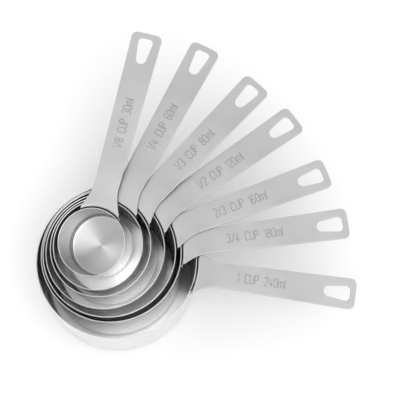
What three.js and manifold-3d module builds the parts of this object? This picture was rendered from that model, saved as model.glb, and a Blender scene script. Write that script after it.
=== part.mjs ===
// A set of seven nested measuring cups, fanned out in their nest.
// Each cup is a drawn sheet bowl with a stamped strip handle welded to the outside of its wall.
// The one-cup measure stands on the table, and every smaller cup sits in the next larger one.
// Millimetres, +Z up, origin at the centre of the largest cup's underside.

import * as THREE from 'three';
import { mergeVertices } from 'three/addons/utils/BufferGeometryUtils.js';
import Module from 'manifold-3d';

const wasm = await Module();
wasm.setup();

// ---------------------------------------------------------------- driving dimensions

const SHEET = 0.6;            // thickness of a bowl's wall and floor
const STRIP = 1.0;            // thickness of a handle
const GAP = 0.2;              // clearance left between two pieces that touch
const FLOOR_FILLET = 2.6;     // outside radius between wall and floor

const FLANGE_WIDTH = 23;      // the bent-down root of a handle that hugs the wall
const FLANGE_DROP = 9;        // how far it reaches below the rim
const FLANGE_CORNER = 2.5;    // radius of its lower corners
const BEND = 1.2;             // inside radius of the bend between flange and strip
const NECK_WIDTH = 14.6;      // narrowest width of a handle
const NECK_REACH = 12;        // from the bend to the neck
const TIP_WIDTH = 18.2;       // widest part of a handle, at its tip
const TIP_CORNER = 3.2;       // radius of the tip's two corners

const SLOT_LENGTH = 15;       // hanging slot near the tip
const SLOT_MARGIN = 3.2;      // from the slot's wide end to the tip
const SLOT_WIDE = 8.8;        // width of the slot at its outer end
const SLOT_NARROW = 6.4;      // width at its inner end, which is a half circle
const SLOT_CORNER = 2.6;      // radius of the two outer corners

// Largest cup first. Each later cup sits in the one before it.
// rim and floor are outside radii, and handle is the reach from the rim to the tip.
// swivel turns the cup in its nest from the handle below it, in degrees.
// forward and sideways shift its rim in that nest, along and across its own handle.
const CUPS = [
  { name: 'one', millilitres: 240, rim: 45.8, floor: 43.5, handle: 91, swivel: -10.3 },
  { name: 'three_quarter', millilitres: 180, rim: 40.2, floor: 38.3, handle: 96.2, swivel: 16,
    forward: -2.6, sideways: 4 },
  { name: 'two_thirds', millilitres: 160, rim: 38.1, floor: 36.4, handle: 95.6, swivel: 13.1,
    forward: -0.8, sideways: 1.05 },
  { name: 'half', millilitres: 120, rim: 34.3, floor: 33.1, handle: 99.9, swivel: 14.35,
    forward: -1.25, sideways: 2.55 },
  { name: 'third', millilitres: 80, rim: 29.4, floor: 28.3, handle: 101.8, swivel: 10.65,
    forward: -0.2, sideways: 3.7 },
  { name: 'quarter', millilitres: 60, rim: 26.3, floor: 25, handle: 105.1, swivel: 15.3,
    forward: 0.1, sideways: 1.8 },
  { name: 'eighth', millilitres: 30, rim: 19.8, floor: 18.8, handle: 104.8, swivel: 12.5,
    forward: 0.65, sideways: 4.4 },
];

const TURN_SEGMENTS = 40;     // facets round a bowl
const FILLET_SEGMENTS = 3;
const BEND_SEGMENTS = 4;
const FLARE_SEGMENTS = 5;
const CORNER_SEGMENTS = 3;
const ACROSS_SEGMENTS = 6;    // facets across a handle

const DEGREE = Math.PI / 180;

// ---------------------------------------------------------------- sizes that follow

// Inside depth of a bowl from its capacity: the volume of a cone frustum.
function insideDepth(cup) {
  const top = cup.rim - SHEET;
  const bottom = cup.floor - SHEET;
  const section = (Math.PI / 3) * (top * top + top * bottom + bottom * bottom);
  return (cup.millilitres * 1000) / section;
}

for (const cup of CUPS) {
  cup.depth = insideDepth(cup);
  cup.height = cup.depth + SHEET;
  cup.draft = Math.atan((cup.rim - cup.floor) / cup.height);
}

// How a cup lies in the next larger one: its handle rests over that cup's rim, and the far
// edge of its floor has dropped onto that cup's floor.
// Returns the angle that lifts the handle, and the height of its rim's centre over the nest's rim.
function restIn(nest, cup) {
  const across = Math.abs(cup.sideways) + FLANGE_WIDTH / 2;
  const reach = Math.sqrt((nest.rim - SHEET) ** 2 - across ** 2) - cup.forward;
  const base = reach + cup.floor - FLOOR_FILLET;
  const rise = cup.height - STRIP;
  const lean = Math.asin(nest.depth / Math.hypot(base, rise)) - Math.atan2(rise, base);
  const lift = GAP + STRIP * Math.cos(lean) - reach * Math.sin(lean);
  return { lean, lift };
}

// ---------------------------------------------------------------- solids

function toManifold(geometry) {
  const bare = geometry.clone();
  bare.deleteAttribute('normal');
  bare.deleteAttribute('uv');
  const merged = mergeVertices(bare, 1e-5);
  return new wasm.Manifold(new wasm.Mesh({
    numProp: 3,
    vertProperties: new Float32Array(merged.attributes.position.array),
    triVerts: new Uint32Array(merged.index.array),
  }));
}

function toGeometry(solid) {
  const mesh = solid.getMesh();
  const geometry = new THREE.BufferGeometry();
  geometry.setAttribute('position', new THREE.BufferAttribute(mesh.vertProperties, 3));
  geometry.setIndex(new THREE.BufferAttribute(mesh.triVerts, 1));
  geometry.computeVertexNormals();
  return geometry;
}

// Points of a floor fillet in a bowl's profile, from the floor round to the wall.
function filletPoints(floorRadius, floorHeight, radius, draft) {
  const reach = radius * Math.tan((Math.PI / 2 - draft) / 2);
  const centre = new THREE.Vector2(floorRadius - reach, floorHeight + radius);
  const points = [];
  for (let step = 0; step <= FILLET_SEGMENTS; step += 1) {
    const angle = -Math.PI / 2 + (step / FILLET_SEGMENTS) * (Math.PI / 2 - draft);
    points.push(new THREE.Vector2(
      centre.x + radius * Math.cos(angle),
      centre.y + radius * Math.sin(angle),
    ));
  }
  return points;
}

// A bowl with its rim in the plane z = 0 and its axis on z.
function bowlGeometry(cup) {
  const outside = filletPoints(cup.floor, -cup.height, FLOOR_FILLET, cup.draft);
  const inside = filletPoints(cup.floor - SHEET, -cup.depth, FLOOR_FILLET - SHEET, cup.draft);
  const profile = [
    new THREE.Vector2(0, -cup.height),
    ...outside,
    new THREE.Vector2(cup.rim, 0),
    new THREE.Vector2(cup.rim - SHEET, 0),
    ...inside.reverse(),
    new THREE.Vector2(0, -cup.depth),
  ];
  const geometry = new THREE.LatheGeometry(profile, TURN_SEGMENTS);
  geometry.rotateX(Math.PI / 2);
  return geometry;
}

// Stations along a handle from the flange's lower edge to the tip. Each has the distance from
// the bowl's axis and the height of the upper and the lower face, and the handle's half width.
function handleStations(cup) {
  const slope = Math.tan(cup.draft);
  const lean = new THREE.Vector2(Math.cos(cup.draft), -Math.sin(cup.draft));
  const outer = BEND + STRIP;
  const wall = cup.rim + GAP / Math.cos(cup.draft);
  const centre = new THREE.Vector2(wall - outer * slope + outer / Math.cos(cup.draft), -outer);
  const stations = [];

  const flangeStation = (height, half) => {
    const face = new THREE.Vector2(wall + height * slope, height);
    stations.push({ upper: face, lower: face.clone().addScaledVector(lean, STRIP), half });
  };
  const flangeHalf = FLANGE_WIDTH / 2;
  for (let step = 0; step <= CORNER_SEGMENTS; step += 1) {
    const angle = (step / CORNER_SEGMENTS) * (Math.PI / 2);
    const height = -FLANGE_DROP + FLANGE_CORNER * (1 - Math.cos(angle));
    flangeStation(height, flangeHalf - FLANGE_CORNER * (1 - Math.sin(angle)));
  }

  for (let step = 0; step <= BEND_SEGMENTS; step += 1) {
    const angle = Math.PI - cup.draft - (step / BEND_SEGMENTS) * (Math.PI / 2 - cup.draft);
    const spoke = new THREE.Vector2(Math.cos(angle), Math.sin(angle));
    stations.push({
      upper: centre.clone().addScaledVector(spoke, outer),
      lower: centre.clone().addScaledVector(spoke, BEND),
      half: flangeHalf,
    });
  }

  const stripStation = (radius, half) => {
    const upper = new THREE.Vector2(radius, 0);
    stations.push({ upper, lower: new THREE.Vector2(radius, -STRIP), half });
  };
  const neck = centre.x + NECK_REACH;
  const tip = cup.rim + cup.handle;
  for (let step = 1; step <= FLARE_SEGMENTS; step += 1) {
    const part = step / FLARE_SEGMENTS;
    const widening = (FLANGE_WIDTH - NECK_WIDTH) / 2;
    stripStation(centre.x + NECK_REACH * part, NECK_WIDTH / 2 + widening * (1 - part) ** 2);
  }
  for (let step = 0; step <= CORNER_SEGMENTS; step += 1) {
    const angle = (step / CORNER_SEGMENTS) * (Math.PI / 2);
    const radius = tip - TIP_CORNER * (1 - Math.sin(angle));
    const widening = ((TIP_WIDTH - NECK_WIDTH) / 2) * ((radius - neck) / (tip - neck));
    stripStation(radius, NECK_WIDTH / 2 + widening - TIP_CORNER * (1 - Math.cos(angle)));
  }
  return stations;
}

// A strip of sheet through the given stations. Its cross lines are arcs about the bowl's axis,
// so that the flange hugs the wall and the tip is gently rounded.
function stripSolid(stations) {
  const columns = ACROSS_SEGMENTS + 1;
  const positions = [];
  for (const face of ['upper', 'lower']) {
    for (const station of stations) {
      for (let column = 0; column < columns; column += 1) {
        const y = station.half * ((2 * column) / ACROSS_SEGMENTS - 1);
        const { x: radius, y: height } = station[face];
        positions.push(Math.sqrt(radius * radius - y * y), y, height);
      }
    }
  }
  const upper = (row, column) => row * columns + column;
  const lower = (row, column) => (stations.length + row) * columns + column;
  const index = [];
  const quad = (a, b, c, d) => index.push(a, b, c, a, c, d);
  const last = stations.length - 1;
  for (let row = 0; row < last; row += 1) {
    for (let column = 0; column < ACROSS_SEGMENTS; column += 1) {
      quad(upper(row, column), upper(row + 1, column),
        upper(row + 1, column + 1), upper(row, column + 1));
      quad(lower(row, column), lower(row, column + 1),
        lower(row + 1, column + 1), lower(row + 1, column));
    }
    quad(upper(row, 0), lower(row, 0), lower(row + 1, 0), upper(row + 1, 0));
    quad(upper(row, ACROSS_SEGMENTS), upper(row + 1, ACROSS_SEGMENTS),
      lower(row + 1, ACROSS_SEGMENTS), lower(row, ACROSS_SEGMENTS));
  }
  for (let column = 0; column < ACROSS_SEGMENTS; column += 1) {
    quad(upper(0, column), upper(0, column + 1), lower(0, column + 1), lower(0, column));
    quad(upper(last, column), lower(last, column),
      lower(last, column + 1), upper(last, column + 1));
  }
  const geometry = new THREE.BufferGeometry();
  geometry.setAttribute('position', new THREE.Float32BufferAttribute(positions, 3));
  geometry.setIndex(index);
  return toManifold(geometry);
}

// The hanging slot: a half circle at the inner end, widening to two rounded corners.
function slotSolid(cup) {
  const outerEnd = cup.rim + cup.handle - SLOT_MARGIN;
  const innerEnd = outerEnd - SLOT_LENGTH;
  const small = SLOT_NARROW / 2;
  const large = SLOT_WIDE / 2;
  const shape = new THREE.Shape();
  shape.absarc(innerEnd + small, 0, small, Math.PI / 2, -Math.PI / 2, false);
  shape.absarc(outerEnd - SLOT_CORNER, SLOT_CORNER - large, SLOT_CORNER, -Math.PI / 2, 0, false);
  shape.absarc(outerEnd - SLOT_CORNER, large - SLOT_CORNER, SLOT_CORNER, 0, Math.PI / 2, false);
  const geometry = new THREE.ExtrudeGeometry(shape, {
    depth: 3 * STRIP,
    bevelEnabled: false,
    curveSegments: 4,
  });
  geometry.translate(0, 0, -2 * STRIP);
  return toManifold(geometry);
}

function handleGeometry(cup) {
  return toGeometry(stripSolid(handleStations(cup)).subtract(slotSolid(cup)));
}

// ---------------------------------------------------------------- the set

function bowlSteel() {
  return new THREE.MeshStandardMaterial({ color: 0xc9c9c7, roughness: 0.32, metalness: 1 });
}

function handleSteel() {
  return new THREE.MeshStandardMaterial({ color: 0xbfbfbd, roughness: 0.42, metalness: 1 });
}

// One cup with its rim's centre at the group's origin and its handle along +x.
function cupGroup(cup) {
  const bowl = new THREE.Mesh(bowlGeometry(cup), bowlSteel());
  bowl.name = `${cup.name}_cup_bowl`;
  const handle = new THREE.Mesh(handleGeometry(cup), handleSteel());
  handle.name = `${cup.name}_cup_handle`;
  const group = new THREE.Group();
  group.add(bowl, handle);
  return group;
}

const set = new THREE.Group();
const [largest, ...smaller] = CUPS;

let nest = largest;
let nestGroup = cupGroup(largest);
nestGroup.rotation.z = largest.swivel * DEGREE;
nestGroup.position.z = largest.height;
set.add(nestGroup);

for (const cup of smaller) {
  const { lean, lift } = restIn(nest, cup);
  const group = cupGroup(cup);
  group.rotation.set(0, -lean, cup.swivel * DEGREE, 'ZYX');
  group.position.set(cup.forward, cup.sideways, lift);
  group.position.applyAxisAngle(new THREE.Vector3(0, 0, 1), cup.swivel * DEGREE);
  nestGroup.add(group);
  nest = cup;
  nestGroup = group;
}

export default set;
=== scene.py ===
import math

import bmesh
import bpy
import numpy as np
from mathutils import Matrix, Vector
from mathutils.geometry import delaunay_2d_cdt


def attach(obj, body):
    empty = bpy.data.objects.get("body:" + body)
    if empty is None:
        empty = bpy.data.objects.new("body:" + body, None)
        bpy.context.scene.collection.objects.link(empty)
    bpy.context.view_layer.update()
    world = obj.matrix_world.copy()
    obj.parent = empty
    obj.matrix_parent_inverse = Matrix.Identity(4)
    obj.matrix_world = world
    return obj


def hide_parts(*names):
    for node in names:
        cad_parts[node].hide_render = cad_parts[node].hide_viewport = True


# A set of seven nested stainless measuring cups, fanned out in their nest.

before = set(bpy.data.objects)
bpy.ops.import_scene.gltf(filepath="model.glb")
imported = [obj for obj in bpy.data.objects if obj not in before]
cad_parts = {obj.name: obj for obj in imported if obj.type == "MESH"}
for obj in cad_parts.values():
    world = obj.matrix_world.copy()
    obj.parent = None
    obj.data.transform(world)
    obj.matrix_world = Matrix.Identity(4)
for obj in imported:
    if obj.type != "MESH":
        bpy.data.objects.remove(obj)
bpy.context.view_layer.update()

# ---------------------------------------------------------------- driving dimensions, mm

MARKS = {
    "one": "1 CUP 240ml",
    "three_quarter": "3/4 CUP 180ml",
    "two_thirds": "2/3 CUP 160ml",
    "half": "1/2 CUP 120ml",
    "third": "1/3 CUP 80ml",
    "quarter": "1/4 CUP 60ml",
    "eighth": "1/8 CUP 30ml",
}

STRIP = 1.0                # thickness of a handle
WALL_GAP = 0.2             # between a handle's flange and the wall
EDGE = 0.24                # rounding of a handle's stamped edges
FLOOR_FILLET = 2.6         # outside radius between wall and floor

FLANGE_WIDTH = 23.0
FLANGE_DROP = 9.0
FLANGE_CORNER = 2.5
BEND = 1.2                 # inside radius of the bend between flange and strip
NECK_WIDTH = 14.6
NECK_REACH = 12.0
TIP_WIDTH = 18.2
TIP_CORNER = 3.2

SLOT_LENGTH = 15.0
SLOT_MARGIN = 3.2
SLOT_WIDE = 8.8
SLOT_NARROW = 6.4
SLOT_CORNER = 2.6
SLOT_STEPS = 12            # facets of a quarter turn
PLUG_OVERLAP = 0.001       # the cutters run past the faces that they cut by these
PLUG_SIDE = 0.02
PLUG_RISE = 0.5

MARK_HEIGHT = 5.2          # height of the capital letters
MARK_STROKE = 0.46
MARK_DEPTH = 0.12
MARK_FROM_TIP = 53.8       # from the tip to the middle of the mark
MARK_REACH = 25            # no mark is longer than twice this
SKIN = 0.01                # faces deeper than this below the strip's top are in a mark
MARK_RISE = 0.4            # of the mark's cutter above the strip
SHARPEST_MITRE = 0.7

TURN = 192                 # facets round a bowl
ACROSS = 16                # facets across a handle
CURVE_STEPS = 10           # facets of a fillet or of the rim, seen in section
FLOOR_RINGS = (0.03, 0.1, 0.25, 0.45, 0.65, 0.82, 0.94)        # shares of the floor's radius
WALL_RINGS = (0.06, 0.2, 0.4, 0.6, 0.8, 0.92, 0.975)           # shares of the wall's height
FLANGE_ROWS = (0.25, 0.5, 0.75, 0.92)                          # shares of the flange's height
CORNER_ROWS = 9            # lines across a handle in a corner
BEND_ROWS = 13
NECK_ROWS = 15
STRIP_ROWS = 13
EDGE_ROWS = 5

SAME_PLACE = 0.0005        # corners closer than this are one
MILLIMETRE = 0.001

RIM_BAND = 0.05            # CAD corners this close to the top belong to the rim
BELOW_RIM = 1.0            # and those this far down to the wall
TIP_BAND = 0.05            # CAD corners this close to the farthest belong to a handle's tip


# ---------------------------------------------------------------- where the cups are

class Cup:
    """Sizes of one cup in millimetres, and the matrix that puts its rim's centre in place."""

    def __init__(self, name):
        self.name = name
        self.bowl_node = name + "_cup_bowl"
        self.handle_node = name + "_cup_handle"
        self.body = name + "_cup"
        bowl = distinct_points(self.bowl_node)
        middle = bowl.mean(0)
        axis = turning_axis(self.bowl_node)
        along = (bowl - middle) @ axis
        centre = middle + axis * along.max()
        local = bowl - centre
        height = local @ axis
        radius = np.linalg.norm(local - np.outer(height, axis), axis=1)
        rim_ring = radius[height > -RIM_BAND]
        self.rim = rim_ring.max()
        self.sheet = rim_ring.max() - rim_ring.min()
        self.height = -height.min()
        below = height < -BELOW_RIM
        widest = np.argmax(np.where(below, radius, 0.0))
        self.draft = math.atan((self.rim - radius[widest]) / -height[widest])
        self.floor = self.rim - self.height * math.tan(self.draft)

        handle = distinct_points(self.handle_node) - centre
        reach = np.linalg.norm(handle - np.outer(handle @ axis, axis), axis=1)
        self.tip = reach.max()
        forward = handle[reach > self.tip - TIP_BAND].mean(0)
        forward = forward - axis * (forward @ axis)
        forward = forward / np.linalg.norm(forward)
        side = np.cross(axis, forward)
        self.matrix = Matrix.Identity(4)
        for column, direction in enumerate((forward, side, axis)):
            for row in range(3):
                self.matrix[row][column] = direction[row]
        for row in range(3):
            self.matrix[row][3] = centre[row] * MILLIMETRE


def distinct_points(node):
    """The corners of a CAD node in millimetres, each once."""
    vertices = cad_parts[node].data.vertices
    points = np.array([v.co for v in vertices], float) / MILLIMETRE
    return np.unique(np.round(points, 3), axis=0)


def turning_axis(node):
    """The upward axis of a bowl, which is square to its floor, the largest flat face."""
    sums = {}
    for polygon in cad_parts[node].data.polygons:
        key = tuple(round(part, 2) for part in polygon.normal)
        sums[key] = sums.get(key, 0.0) + np.array(polygon.normal) * polygon.area
    floor_face = max(sums.values(), key=np.linalg.norm)
    return floor_face / np.linalg.norm(floor_face) * np.sign(floor_face[2])


# ---------------------------------------------------------------- bowls

def arc(centre, radius, start, end, steps):
    """Points on an arc, angles in radians, both ends included."""
    angles = np.linspace(start, end, steps + 1)
    return [(centre[0] + radius * math.cos(a), centre[1] + radius * math.sin(a)) for a in angles]


def shares(start, end, parts):
    """Points on the straight line from start to end at the given shares of its length."""
    return [(start[0] + (end[0] - start[0]) * p, start[1] + (end[1] - start[1]) * p) for p in parts]


def bowl_profile(cup):
    """(radius, height) round a bowl's section, from under the floor over the rim to the inside."""
    quarter = math.pi / 2
    lip = cup.sheet / 2
    slope = math.tan(cup.draft)
    sides = []
    for offset, sheet in ((0.0, 0.0), (cup.sheet, cup.sheet)):
        fillet = FLOOR_FILLET - offset
        bottom = -cup.height + sheet
        reach = fillet * math.tan((quarter - cup.draft) / 2)
        centre = (cup.floor - offset - reach, bottom + fillet)
        turn = arc(centre, fillet, -quarter, -cup.draft, CURVE_STEPS)
        floor = shares((0.0, bottom), turn[0], FLOOR_RINGS)
        top = (cup.rim - offset - lip * slope, -lip)
        wall = shares(turn[-1], top, WALL_RINGS)
        sides.append([(0.0, bottom), *floor, *turn, *wall])
    rim = arc((cup.rim - lip - lip * slope, -lip), lip, 0.0, math.pi, CURVE_STEPS)
    return [*sides[0], *rim, *reversed(sides[1])]


def turned(profile):
    """Vertices and faces of a profile turned about the z axis. Its two ends are on the axis."""
    vertices = [(0.0, 0.0, profile[0][1])]
    faces = []
    angles = np.linspace(0, 2 * math.pi, TURN, endpoint=False)
    for radius, height in profile[1:-1]:
        vertices += [(radius * math.cos(a), radius * math.sin(a), height) for a in angles]
    vertices.append((0.0, 0.0, profile[-1][1]))
    rings = len(profile) - 2
    last = len(vertices) - 1
    for step in range(TURN):
        after = (step + 1) % TURN
        faces.append((0, 1 + after, 1 + step))
        for ring in range(rings - 1):
            low = 1 + ring * TURN
            high = low + TURN
            faces.append((low + step, low + after, high + after, high + step))
        top = 1 + (rings - 1) * TURN
        faces.append((top + step, top + after, last))
    return vertices, faces


# ---------------------------------------------------------------- handles

def handle_rows(cup, inset):
    """Cross lines along a handle's outline, drawn in from the full outline by inset.
    Each is (point of the upper face, direction through the sheet, half width)."""
    slope = math.tan(cup.draft)
    through = np.array([math.cos(cup.draft), -math.sin(cup.draft)])
    outer = BEND + STRIP
    wall = cup.rim + WALL_GAP / math.cos(cup.draft)
    centre = np.array([wall - outer * slope + outer / math.cos(cup.draft), -outer])
    rows = []

    def flange(height, half):
        rows.append((np.array([wall + height * slope, height]), through, half))

    full = FLANGE_WIDTH / 2 - inset
    round_ = FLANGE_CORNER - inset
    start = -FLANGE_DROP + FLANGE_CORNER
    for angle in np.linspace(0, math.pi / 2, CORNER_ROWS):
        flange(start - round_ * math.cos(angle), full - round_ + round_ * math.sin(angle))
    bend_start = centre[1] + outer * math.sin(math.pi - cup.draft)
    for part in FLANGE_ROWS:
        flange(start + (bend_start - start) * part, full)
    for angle in np.linspace(math.pi - cup.draft, math.pi / 2, BEND_ROWS):
        spoke = np.array([math.cos(angle), math.sin(angle)])
        rows.append((centre + outer * spoke, -spoke, full))

    down = np.array([0.0, -1.0])
    neck = centre[0] + NECK_REACH
    narrow = NECK_WIDTH / 2
    for part in np.linspace(0, 1, NECK_ROWS)[1:]:
        widening = (FLANGE_WIDTH / 2 - narrow) * (1 - part) ** 2
        rows.append((np.array([centre[0] + NECK_REACH * part, 0.0]), down,
                     narrow + widening - inset))
    growth = (TIP_WIDTH / 2 - narrow) / (cup.tip - neck)
    corner = cup.tip - TIP_CORNER
    for part in np.linspace(0, 1, STRIP_ROWS)[1:-1]:
        radius = neck + (corner - neck) * part
        rows.append((np.array([radius, 0.0]), down, narrow + growth * (radius - neck) - inset))
    round_ = TIP_CORNER - inset
    for angle in np.linspace(0, math.pi / 2, CORNER_ROWS):
        radius = corner + round_ * math.sin(angle)
        half = narrow + growth * (radius - neck) - TIP_CORNER + round_ * math.cos(angle)
        rows.append((np.array([radius, 0.0]), down, half))
    return rows


def on_arc(point, across):
    """A point of the section moved across the handle on a circle about the bowl's axis."""
    return (math.sqrt(point[0] ** 2 - across ** 2), across, point[1])


def handle_solid(cup):
    """Vertices and faces of a handle without its slot, every edge rounded."""
    turns = np.linspace(0, math.pi / 2, EDGE_ROWS)
    levels = [(EDGE * (1 - math.cos(a)), EDGE * (1 - math.sin(a))) for a in turns[::-1]]
    levels += [(inset, STRIP - depth) for inset, depth in reversed(levels)]
    vertices = []
    grids = {}
    rings = []
    last_level = len(levels) - 1
    for number, (inset, depth) in enumerate(levels):
        rows = handle_rows(cup, inset)
        grid = {}
        for row, (upper, through, half) in enumerate(rows):
            point = upper + through * depth
            for column in range(ACROSS + 1):
                edge = row in (0, len(rows) - 1) or column in (0, ACROSS)
                if edge or number in (0, last_level):
                    grid[row, column] = len(vertices)
                    vertices.append(on_arc(point, half * (2 * column / ACROSS - 1)))
        grids[number] = grid
        end = len(rows) - 1
        loop = [(row, 0) for row in range(end)]
        loop += [(end, column) for column in range(ACROSS)]
        loop += [(row, ACROSS) for row in range(end, 0, -1)]
        loop += [(0, column) for column in range(ACROSS, 0, -1)]
        rings.append([grid[key] for key in loop])
    faces = []
    for number in (0, last_level):
        grid = grids[number]
        for row in range(end):
            for column in range(ACROSS):
                faces.append((grid[row, column], grid[row + 1, column],
                              grid[row + 1, column + 1], grid[row, column + 1]))
    for low, high in zip(rings, rings[1:]):
        for step in range(len(low)):
            after = (step + 1) % len(low)
            faces.append((low[step], low[after], high[after], high[step]))
    return vertices, faces


def slot_outline(cup, grow):
    """The hanging slot's outline, seen from above, grown by grow."""
    end = cup.tip - SLOT_MARGIN
    small = SLOT_NARROW / 2
    inner = (end - SLOT_LENGTH + small, 0.0)
    corner = end - SLOT_CORNER
    rise = SLOT_WIDE / 2 - SLOT_CORNER
    half = math.pi / 2
    return [
        *arc(inner, small + grow, half, 3 * half, 2 * SLOT_STEPS),
        *arc((corner, -rise), SLOT_CORNER + grow, -half, 0.0, SLOT_STEPS),
        *arc((corner, rise), SLOT_CORNER + grow, 0.0, half, SLOT_STEPS),
    ]


def slot_cutter(cup):
    """A plug that flares at both faces of the strip, so that the slot's edges come out rounded."""
    turns = np.linspace(0, math.pi / 2, EDGE_ROWS)
    levels = [(EDGE + PLUG_SIDE, PLUG_RISE)]
    levels += [(EDGE * (1 - math.sin(a)) + PLUG_OVERLAP, -EDGE * (1 - math.cos(a)))
               for a in turns]
    levels += [(grow, -STRIP - height) for grow, height in reversed(levels)]
    vertices = []
    for grow, height in levels:
        vertices += [(x, y, height) for x, y in slot_outline(cup, grow)]
    count = len(vertices) // len(levels)
    faces = [tuple(range(count)), tuple(range(len(vertices) - count, len(vertices)))]
    for level in range(len(levels) - 1):
        for step in range(count):
            after = (step + 1) % count
            low = level * count
            faces.append((low + step, low + after, low + count + after, low + count + step))
    return vertices, faces


# ---------------------------------------------------------------- engraved capacities

def oval(x, y, across, up, start=0, end=360, steps=20):
    """Points on an oval, angles in degrees, both ends included."""
    angles = np.radians(np.linspace(start, end, steps + 1))
    return [(x + across * math.cos(a), y + up * math.sin(a)) for a in angles]


# Strokes of each letter, in letter heights, and the letter's width.
LETTERS = {
    " ": ([], 0.46),
    "/": ([[(0.0, 0.0), (0.30, 1.0)]], 0.30),
    "0": ([[*oval(0.2, 0.78, 0.2, 0.22, 0, 180, 12), *oval(0.2, 0.22, 0.2, 0.22, 180, 360, 12),
            (0.4, 0.78)]], 0.40),
    "1": ([[(0.0, 0.80), (0.15, 1.0), (0.15, 0.0)]], 0.15),
    "2": ([[*oval(0.2, 0.76, 0.2, 0.24, 170, -25, 14), (0.0, 0.0), (0.4, 0.0)]], 0.40),
    "3": ([[*oval(0.18, 0.76, 0.2, 0.24, 160, -90, 16)],
           [*oval(0.18, 0.26, 0.22, 0.26, 90, -160, 16)]], 0.40),
    "4": ([[(0.29, 0.0), (0.29, 1.0), (0.0, 0.30), (0.42, 0.30)]], 0.42),
    "6": ([[*oval(0.2, 0.74, 0.2, 0.26, 35, 180, 12), *oval(0.2, 0.27, 0.2, 0.27, 180, 520, 24)]],
          0.40),
    "8": ([[*oval(0.2, 0.76, 0.17, 0.24, -90, 270, 22)],
           [*oval(0.2, 0.26, 0.2, 0.26, 90, 450, 22)]], 0.40),
    "C": ([[*oval(0.22, 0.78, 0.22, 0.22, 15, 180, 12),
            *oval(0.22, 0.22, 0.22, 0.22, 180, 345, 12)]], 0.44),
    "U": ([[(0.0, 1.0), *oval(0.22, 0.22, 0.22, 0.22, 180, 360, 14), (0.44, 1.0)]], 0.44),
    "P": ([[(0.0, 0.0), (0.0, 1.0), *oval(0.2, 0.745, 0.22, 0.255, 90, -90, 14),
            (0.0, 0.49)]], 0.42),
    "m": ([[(0.0, 0.0), (0.0, 0.72)],
           [(0.0, 0.55), *oval(0.15, 0.57, 0.15, 0.15, 180, 0, 10), (0.30, 0.0)],
           [(0.30, 0.55), *oval(0.45, 0.57, 0.15, 0.15, 180, 0, 10), (0.60, 0.0)]], 0.60),
    "l": ([[(0.0, 0.0), (0.0, 1.0)]], 0.0),
}
LETTER_GAP = 0.15
CLOSED = 1e-6              # a stroke with its ends this close is a ring
MERGE = 1e-5               # corners of the marks this close are one
NARROWING = 0.88           # of every letter's width


def text_strokes(text):
    """Polylines of a text in millimetres, centred on the origin and reading along +x."""
    lines = []
    width = 0.0
    for letter in text:
        strokes, letter_width = LETTERS[letter]
        lines += [[(width + x * NARROWING, y) for x, y in stroke] for stroke in strokes]
        width += letter_width * NARROWING + LETTER_GAP
    width -= LETTER_GAP
    return [np.array([(x - width / 2, y - 0.5) for x, y in line]) * MARK_HEIGHT for line in lines]


def stroke_edges(line):
    """The left and the right edge of a stroke that follows a polyline, with mitred corners."""
    along = np.diff(line, axis=0)
    along = along / np.linalg.norm(along, axis=1)[:, None]
    normals = np.stack([-along[:, 1], along[:, 0]], axis=1)
    if np.linalg.norm(line[0] - line[-1]) < CLOSED:
        before = np.vstack([normals[-1:], normals])
        after = np.vstack([normals, normals[:1]])
    else:
        before = np.vstack([normals[:1], normals])
        after = np.vstack([normals, normals[-1:]])
    mitre = before + after
    length = np.maximum((mitre * after).sum(1), SHARPEST_MITRE)
    offset = mitre / length[:, None] * (MARK_STROKE / 2)
    return line + offset, line - offset


def mark_cutter(cup):
    """Low prisms on the upper face of a handle, which leave the engraved capacity."""
    points = []
    quads = []
    for line in text_strokes(MARKS[cup.name]):
        left, right = stroke_edges(line)
        first = len(points)
        for a, b in zip(left, right):
            points += [Vector(a), Vector(b)]
        for step in range(len(line) - 1):
            low = first + 2 * step
            quads.append((low, low + 1, low + 3, low + 2))
    flat, _, triangles, _, _, owners = delaunay_2d_cdt(points, [], quads, 1, MERGE)
    triangles = [t for t, inside in zip(triangles, owners) if inside]
    middle = cup.tip - MARK_FROM_TIP
    count = len(flat)
    vertices = [(p.x + middle, p.y, height) for height in (MARK_RISE, -MARK_DEPTH) for p in flat]
    faces = [tuple(t) for t in triangles]
    faces += [tuple(count + corner for corner in reversed(t)) for t in triangles]
    edges = {}
    for triangle in triangles:
        for a, b in zip(triangle, (*triangle[1:], triangle[0])):
            edges[a, b] = True
    for a, b in edges:
        if (b, a) not in edges:
            faces.append((b, a, count + a, count + b))
    return vertices, faces


# ---------------------------------------------------------------- from numbers to objects

def new_object(name, shape):
    """A mesh object from vertices in millimetres and faces, with its faces turned outward."""
    vertices, faces = shape
    mesh = bpy.data.meshes.new(name)
    mesh.from_pydata([Vector(v) * MILLIMETRE for v in vertices], [], faces)
    work = bmesh.new()
    work.from_mesh(mesh)
    bmesh.ops.recalc_face_normals(work, faces=work.faces)
    work.to_mesh(mesh)
    work.free()
    made = bpy.data.objects.new(name, mesh)
    bpy.context.scene.collection.objects.link(made)
    return made


def cut_away(piece, cutter):
    """Takes the cutter's shape out of a piece, and discards the cutter."""
    modifier = piece.modifiers.new("cut", "BOOLEAN")
    modifier.operation = "DIFFERENCE"
    modifier.solver = "EXACT"
    modifier.object = cutter
    depsgraph = bpy.context.evaluated_depsgraph_get()
    mesh = bpy.data.meshes.new_from_object(piece.evaluated_get(depsgraph))
    work = bmesh.new()
    work.from_mesh(mesh)
    bmesh.ops.remove_doubles(work, verts=work.verts, dist=SAME_PLACE * MILLIMETRE)
    work.to_mesh(mesh)
    work.free()
    piece.modifiers.clear()
    old = piece.data
    piece.data = mesh
    bpy.data.meshes.remove(old)
    bpy.data.objects.remove(cutter)


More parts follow.
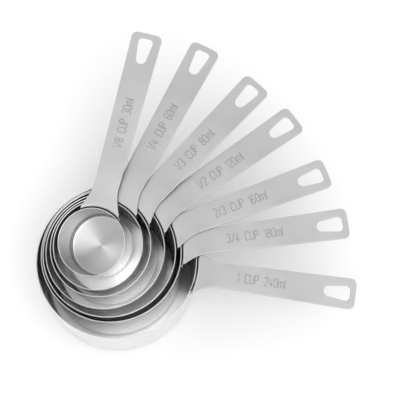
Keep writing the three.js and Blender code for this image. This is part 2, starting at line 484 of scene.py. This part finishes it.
def smooth(piece, sharp_degrees):
    """Smooth shading with crisp edges where faces meet at more than an angle."""
    for polygon in piece.data.polygons:
        polygon.use_smooth = True
    piece.data.set_sharp_from_angle(angle=math.radians(sharp_degrees))
    weighted = piece.modifiers.new("weighted normals", "WEIGHTED_NORMAL")
    weighted.keep_sharp = True


# ---------------------------------------------------------------- finishes

FACING = 0.1               # normals leaning out more than this belong to the outside
FLAT = 0.9                 # and those more upright than this to the floor
FACES_CUP = -0.72          # a handle's faces that look this squarely at the bowl get the painted shade of the groove
BOWL_CREASE = 60           # degrees
HANDLE_CREASE = 40

CLOUDS = 38.0              # per metre, uneven stretches in a bowl's sheet
STRIP_CLOUDS = 45.0
RINGS = 2600.0             # per metre, spinning marks
RINGS_ROUND = 0.9          # how little they change round the bowl
RING_DEPTH = 0.000012
GRAIN_ALONG = 60.0         # per metre, brushing marks
GRAIN_ACROSS = 3200.0
GRAIN_DEPTH = 0.00001
ETCHING = 9000.0
FIBRES = 900.0
GRAIN_TURN = 0.25          # spreads the reflection across the grain


class Finish:
    """A node material built up step by step."""

    def __init__(self, name):
        self.material = bpy.data.materials.new(name)
        self.material.use_nodes = True
        self.tree = self.material.node_tree
        self.tree.nodes.clear()
        self.output = self.add("ShaderNodeOutputMaterial")
        self.shader = self.add("ShaderNodeBsdfPrincipled")
        self.link(self.shader.outputs["BSDF"], self.output.inputs["Surface"])

    def add(self, kind, **settings):
        node = self.tree.nodes.new(kind)
        for key, value in settings.items():
            setattr(node, key, value)
        return node

    def link(self, source, target):
        self.tree.links.new(source, target)

    def value(self, operation, first, second=0.0):
        """The output of a Math node whose inputs are sockets or numbers."""
        node = self.add("ShaderNodeMath", operation=operation)
        for socket, given in zip(node.inputs, (first, second)):
            if isinstance(given, (int, float)):
                socket.default_value = given
            else:
                self.link(given, socket)
        return node.outputs[0]

    def local_position(self):
        """X, Y and Z in the piece's own frame, in metres."""
        place = self.add("ShaderNodeTexCoord")
        split = self.add("ShaderNodeSeparateXYZ")
        self.link(place.outputs["Object"], split.inputs[0])
        return split.outputs["X"], split.outputs["Y"], split.outputs["Z"]

    def vector(self, x, y, z):
        node = self.add("ShaderNodeCombineXYZ")
        for socket, given in zip(node.inputs, (x, y, z)):
            if isinstance(given, (int, float)):
                socket.default_value = given
            else:
                self.link(given, socket)
        return node.outputs[0]

    def noise(self, vector, w=None, detail=2.0, scale=1.0):
        dimensions = "3D" if w is None else "4D"
        node = self.add("ShaderNodeTexNoise", noise_dimensions=dimensions)
        node.inputs["Scale"].default_value = scale
        node.inputs["Detail"].default_value = detail
        self.link(vector, node.inputs["Vector"])
        if w is not None:
            self.link(w, node.inputs["W"])
        return node.outputs["Fac"]

    def spread(self, source, low, high):
        """The source's middle range stretched from low to high."""
        node = self.add("ShaderNodeMapRange")
        node.inputs["From Min"].default_value = 0.3
        node.inputs["From Max"].default_value = 0.7
        node.inputs["To Min"].default_value = low
        node.inputs["To Max"].default_value = high
        self.link(source, node.inputs["Value"])
        return node.outputs["Result"]

    def tint(self, source, dark, light):
        node = self.add("ShaderNodeMix", data_type="RGBA")
        node.inputs["A"].default_value = (*dark, 1.0)
        node.inputs["B"].default_value = (*light, 1.0)
        self.link(source, node.inputs["Factor"])
        return node.outputs["Result"]

    def bump(self, height, strength, distance):
        node = self.add("ShaderNodeBump")
        node.inputs["Strength"].default_value = strength
        node.inputs["Distance"].default_value = distance
        self.link(height, node.inputs["Height"])
        self.link(node.outputs["Normal"], self.shader.inputs["Normal"])

    def grain_direction(self, x, y, z):
        """Sends the reflection's grain along a direction given in the piece's own frame."""
        turn = self.add("ShaderNodeVectorTransform", vector_type="VECTOR",
                        convert_from="OBJECT", convert_to="WORLD")
        self.link(self.vector(x, y, z), turn.inputs["Vector"])
        self.link(turn.outputs["Vector"], self.shader.inputs["Tangent"])


def spun_steel(name, metallic, colour, roughness, anisotropic):
    """Stainless sheet with faint rings from spinning, for one side of a bowl."""
    finish = Finish(name)
    x, y, z = finish.local_position()
    radius = finish.value("SQRT", finish.value(
        "ADD", finish.value("MULTIPLY", x, x), finish.value("MULTIPLY", y, y)))
    radius = finish.value("MAXIMUM", radius, 0.5 * MILLIMETRE)
    cosine = finish.value("DIVIDE", x, radius)
    sine = finish.value("DIVIDE", y, radius)
    rings = finish.noise(finish.vector(
        finish.value("MULTIPLY", cosine, RINGS_ROUND),
        finish.value("MULTIPLY", sine, RINGS_ROUND),
        finish.value("MULTIPLY", radius, RINGS)), finish.value("MULTIPLY", z, RINGS), detail=3.0)
    cloud = finish.noise(finish.vector(x, y, z), scale=CLOUDS, detail=3.0)
    finish.link(finish.tint(finish.spread(cloud, 0.0, 1.0), [c - 0.03 for c in colour],
                            [c + 0.03 for c in colour]), finish.shader.inputs["Base Color"])
    worn = finish.value("ADD", finish.spread(rings, roughness - 0.04, roughness + 0.04),
                        finish.spread(cloud, -0.015, 0.015))
    finish.link(worn, finish.shader.inputs["Roughness"])
    finish.bump(rings, 0.25, RING_DEPTH)
    finish.grain_direction(finish.value("MULTIPLY", sine, -1.0), cosine, 0.0)
    finish.shader.inputs["Metallic"].default_value = metallic
    finish.shader.inputs["Anisotropic"].default_value = anisotropic
    finish.shader.inputs["Anisotropic Rotation"].default_value = GRAIN_TURN
    return finish.material


def brushed_steel(name, colour):
    """Satin stainless strip with a fine lengthwise grain, for the handles."""
    finish = Finish(name)
    x, y, z = finish.local_position()
    grain = finish.noise(finish.vector(
        finish.value("MULTIPLY", x, GRAIN_ALONG), finish.value("MULTIPLY", y, GRAIN_ACROSS),
        finish.value("MULTIPLY", z, GRAIN_ACROSS)), detail=3.0)
    cloud = finish.noise(finish.vector(x, y, z), scale=STRIP_CLOUDS, detail=3.0)
    finish.link(finish.tint(finish.spread(cloud, 0.0, 1.0), [c - 0.02 for c in colour],
                            [c + 0.02 for c in colour]), finish.shader.inputs["Base Color"])
    worn = finish.value("ADD", finish.spread(grain, 0.33, 0.42), finish.spread(cloud, -0.02, 0.02))
    finish.link(worn, finish.shader.inputs["Roughness"])
    finish.bump(grain, 0.2, GRAIN_DEPTH)
    finish.grain_direction(1.0, 0.0, 0.0)
    finish.shader.inputs["Metallic"].default_value = 1.0
    finish.shader.inputs["Anisotropic"].default_value = 0.2
    finish.shader.inputs["Anisotropic Rotation"].default_value = GRAIN_TURN
    return finish.material


def etched_steel():
    """The matt grey floor of the engraved marks."""
    finish = Finish("etched_steel")
    x, y, z = finish.local_position()
    pits = finish.noise(finish.vector(x, y, z), scale=ETCHING, detail=2.0)
    finish.link(finish.tint(pits, (0.21, 0.21, 0.21), (0.29, 0.29, 0.288)),
                finish.shader.inputs["Base Color"])
    finish.link(finish.spread(pits, 0.5, 0.65), finish.shader.inputs["Roughness"])
    finish.bump(pits, 0.3, GRAIN_DEPTH)
    finish.shader.inputs["Metallic"].default_value = 0.9
    return finish.material


def paper():
    """The pale sweep that the set stands on."""
    finish = Finish("paper")
    x, y, z = finish.local_position()
    fibre = finish.noise(finish.vector(x, y, z), scale=FIBRES, detail=3.0)
    finish.link(finish.tint(fibre, (0.56, 0.56, 0.56), (0.58, 0.58, 0.58)),
                finish.shader.inputs["Base Color"])
    finish.link(finish.spread(fibre, 0.85, 0.95), finish.shader.inputs["Roughness"])
    finish.shader.inputs["Specular IOR Level"].default_value = 0.1
    finish.shader.inputs["Emission Color"].default_value = (1.0, 1.0, 1.0, 1.0)
    finish.shader.inputs["Emission Strength"].default_value = 0.1
    return finish.material


# ---------------------------------------------------------------- the set

# The smallest cup's inside is satin, and the other cups' insides are a brighter copy of the same
# steel, painted light that lights the gaps between the nested cups. The rims get a darker copy of
# the steel, painted shade that tones down the sky's reflection in the rounded lip. The groove
# between a handle
# and its bowl is painted shade: the faces that look into it get near-black steel.
# Painted shade: a darker copy of the steel on every rim, which tones down the sky's reflection in
# the rounded lip.
SHADED_RIM_STEEL = spun_steel("shaded_rim_steel", 1.0, (0.50, 0.50, 0.498), 0.30, 0.3)
SATIN_FLOOR = spun_steel("satin_floor", 1.0, (0.47, 0.47, 0.468), 0.38, 0.9)
SATIN_WALL = spun_steel("satin_wall", 1.0, (0.45, 0.45, 0.448), 0.25, 0.3)
# Painted light: a brighter copy of the steel for the larger cups' insides, which lights the gaps of
# the nest.
PAINTED_LIGHT_FLOOR = spun_steel("painted_light_floor", 1.0, (0.95, 0.95, 0.945), 0.38, 0.9)
PAINTED_LIGHT_WALL = spun_steel("painted_light_wall", 1.0, (0.96, 0.96, 0.955), 0.24, 0.3)
OUTSIDE_STEEL = spun_steel("outside_steel", 1.0, (0.80, 0.80, 0.798), 0.28, 0.3)
HANDLE_STEEL = brushed_steel("brushed_steel", (0.40, 0.40, 0.398))
# Painted shade: near-black steel on the handle's faces that look into the groove at the bowl, in
# place of the shade in that narrow gap.
PAINTED_GROOVE_SHADE = brushed_steel("painted_groove_shade", (0.035, 0.035, 0.035))
MARK_STEEL = etched_steel()

for cup_name in MARKS:
    cup = Cup(cup_name)

    bowl = new_object(cup_name + "_bowl", turned(bowl_profile(cup)))
    smallest = cup_name == "eighth"
    # The larger cups' insides take the brighter copy, painted light; the smallest keeps the satin
    # steel.
    inside = (SATIN_WALL, SATIN_FLOOR) if smallest else (PAINTED_LIGHT_WALL, PAINTED_LIGHT_FLOOR)
    for finish in (*inside, OUTSIDE_STEEL, SHADED_RIM_STEEL):
        bowl.data.materials.append(finish)
    for polygon in bowl.data.polygons:
        away = polygon.normal.xy.dot(polygon.center.xy.normalized())
        # The rim's faces take the darker copy, painted shade.
        if polygon.center.z > -cup.sheet / 2 * MILLIMETRE:
            polygon.material_index = 3
        elif polygon.normal.z > FLAT:
            polygon.material_index = 1
        elif away > FACING or polygon.normal.z < -FACING:
            polygon.material_index = 2
    smooth(bowl, BOWL_CREASE)
    bowl.matrix_world = cup.matrix
    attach(bowl, cup.body)
    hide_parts(cup.bowl_node)

    handle = new_object(cup_name + "_handle", handle_solid(cup))
    cut_away(handle, new_object("slot", slot_cutter(cup)))
    cut_away(handle, new_object("mark", mark_cutter(cup)))
    handle.data.materials.clear()
    handle.data.materials.append(HANDLE_STEEL)
    handle.data.materials.append(MARK_STEEL)
    handle.data.materials.append(PAINTED_GROOVE_SHADE)
    for polygon in handle.data.polygons:
        centre = polygon.center / MILLIMETRE
        sunk = -MARK_DEPTH - SKIN < centre.z < -SKIN
        along = abs(centre.x - (cup.tip - MARK_FROM_TIP))
        inside = along < MARK_REACH and abs(centre.y) < MARK_HEIGHT
        polygon.material_index = 1 if sunk and inside else 0
        # Faces of the bend and flange that look at the bowl get the painted groove shade.
        away = polygon.normal.xy.dot(centre.xy.normalized())
        if away < FACES_CUP and centre.x < cup.rim + STRIP:
            polygon.material_index = 2
    smooth(handle, HANDLE_CREASE)
    handle.matrix_world = cup.matrix
    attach(handle, cup.body)
    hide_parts(cup.handle_node)

# ---------------------------------------------------------------- stage, light and camera

SWEEP = 4000               # half the floor's side
floor = new_object("floor", (
    [(-SWEEP, -SWEEP, 0), (SWEEP, -SWEEP, 0), (SWEEP, SWEEP, 0), (-SWEEP, SWEEP, 0)],
    [(0, 1, 2, 3)]))
floor.data.materials.append(paper())

scene = bpy.context.scene
scene.view_settings.view_transform = "Standard"

# Brightness of the sky against the squared sine of the angle from straight up.
SKY = ((0.0, 0.5), (0.03, 0.6), (0.08, 1.1), (0.3, 1.5), (0.6, 1.6), (1.0, 0.75))
BRIGHT_DIRECTION = (-0.24, 0.97, 0.0)
BRIGHT_GAIN = 0.5          # added in front and behind


def studio_world():
    """White surroundings, dim overhead, brighter round the horizon and most in front and behind."""
    world = bpy.data.worlds.new("studio")
    world.use_nodes = True
    tree = world.node_tree
    place = tree.nodes.new("ShaderNodeTexCoord")

    def squared_share(direction):
        """The square of the part of the view direction that lies along a direction."""
        along = tree.nodes.new("ShaderNodeVectorMath")
        along.operation = "DOT_PRODUCT"
        along.inputs[1].default_value = direction
        square = tree.nodes.new("ShaderNodeMath")
        square.operation = "MULTIPLY"
        tree.links.new(place.outputs["Generated"], along.inputs[0])
        for socket in square.inputs[:2]:
            tree.links.new(along.outputs["Value"], socket)
        return square.outputs[0]

    def times_plus(source, factor, extra):
        """source * factor + extra, where extra is a number or a socket."""
        node = tree.nodes.new("ShaderNodeMath")
        node.operation = "MULTIPLY_ADD"
        node.inputs[1].default_value = factor
        tree.links.new(source, node.inputs[0])
        if isinstance(extra, float):
            node.inputs[2].default_value = extra
        else:
            tree.links.new(extra, node.inputs[2])
        return node.outputs[0]

    ramp = tree.nodes.new("ShaderNodeValToRGB")
    ramp.color_ramp.interpolation = "EASE"
    brightest = max(level for _, level in SKY)
    stops = ramp.color_ramp.elements
    stops.remove(stops[1])
    for place_on_ramp, level in SKY:
        stop = stops[0] if place_on_ramp == 0.0 else stops.new(place_on_ramp)
        stop.color = (level / brightest,) * 3 + (1.0,)
    tree.links.new(times_plus(squared_share((0.0, 0.0, 1.0)), -1.0, 1.0), ramp.inputs["Fac"])
    front_and_back = times_plus(squared_share(BRIGHT_DIRECTION), BRIGHT_GAIN, 0.0)
    background = tree.nodes["Background"]
    background.inputs["Color"].default_value = (1.0, 1.0, 1.0, 1.0)
    tree.links.new(times_plus(ramp.outputs["Color"], brightest, front_and_back),
                   background.inputs["Strength"])
    return world


scene.world = studio_world()


def soft_light(name, place, aim, size, power):
    """A square soft box at a place in metres, turned to a point."""
    data = bpy.data.lights.new(name, "AREA")
    data.shape = "SQUARE"
    data.size = size
    data.energy = power
    light = bpy.data.objects.new(name, data)
    light.location = place
    light.rotation_euler = (Vector(aim) - Vector(place)).to_track_quat("-Z", "Y").to_euler()
    scene.collection.objects.link(light)


KEY_PLACE = (0.3, -0.5, 1.2)
KEY_AIM = (0.0, 0.0, 0.03)
KEY_SIDE = 1.1
KEY_WATTS = 8.5
soft_light("key", KEY_PLACE, KEY_AIM, KEY_SIDE, KEY_WATTS)

CAMERA_PLACE = (0.04025, -0.23354, 0.84385)
CAMERA_AIM = (0.04868, 0.03784, 0.03)
CAMERA_LENS = 132.3

camera_data = bpy.data.cameras.new("camera")
camera_data.lens = CAMERA_LENS
camera_data.clip_start = 0.01
camera = bpy.data.objects.new("camera", camera_data)
camera.location = CAMERA_PLACE
camera.rotation_euler = (
    (Vector(CAMERA_AIM) - Vector(CAMERA_PLACE)).to_track_quat("-Z", "Y").to_euler())
scene.collection.objects.link(camera)
scene.camera = camera
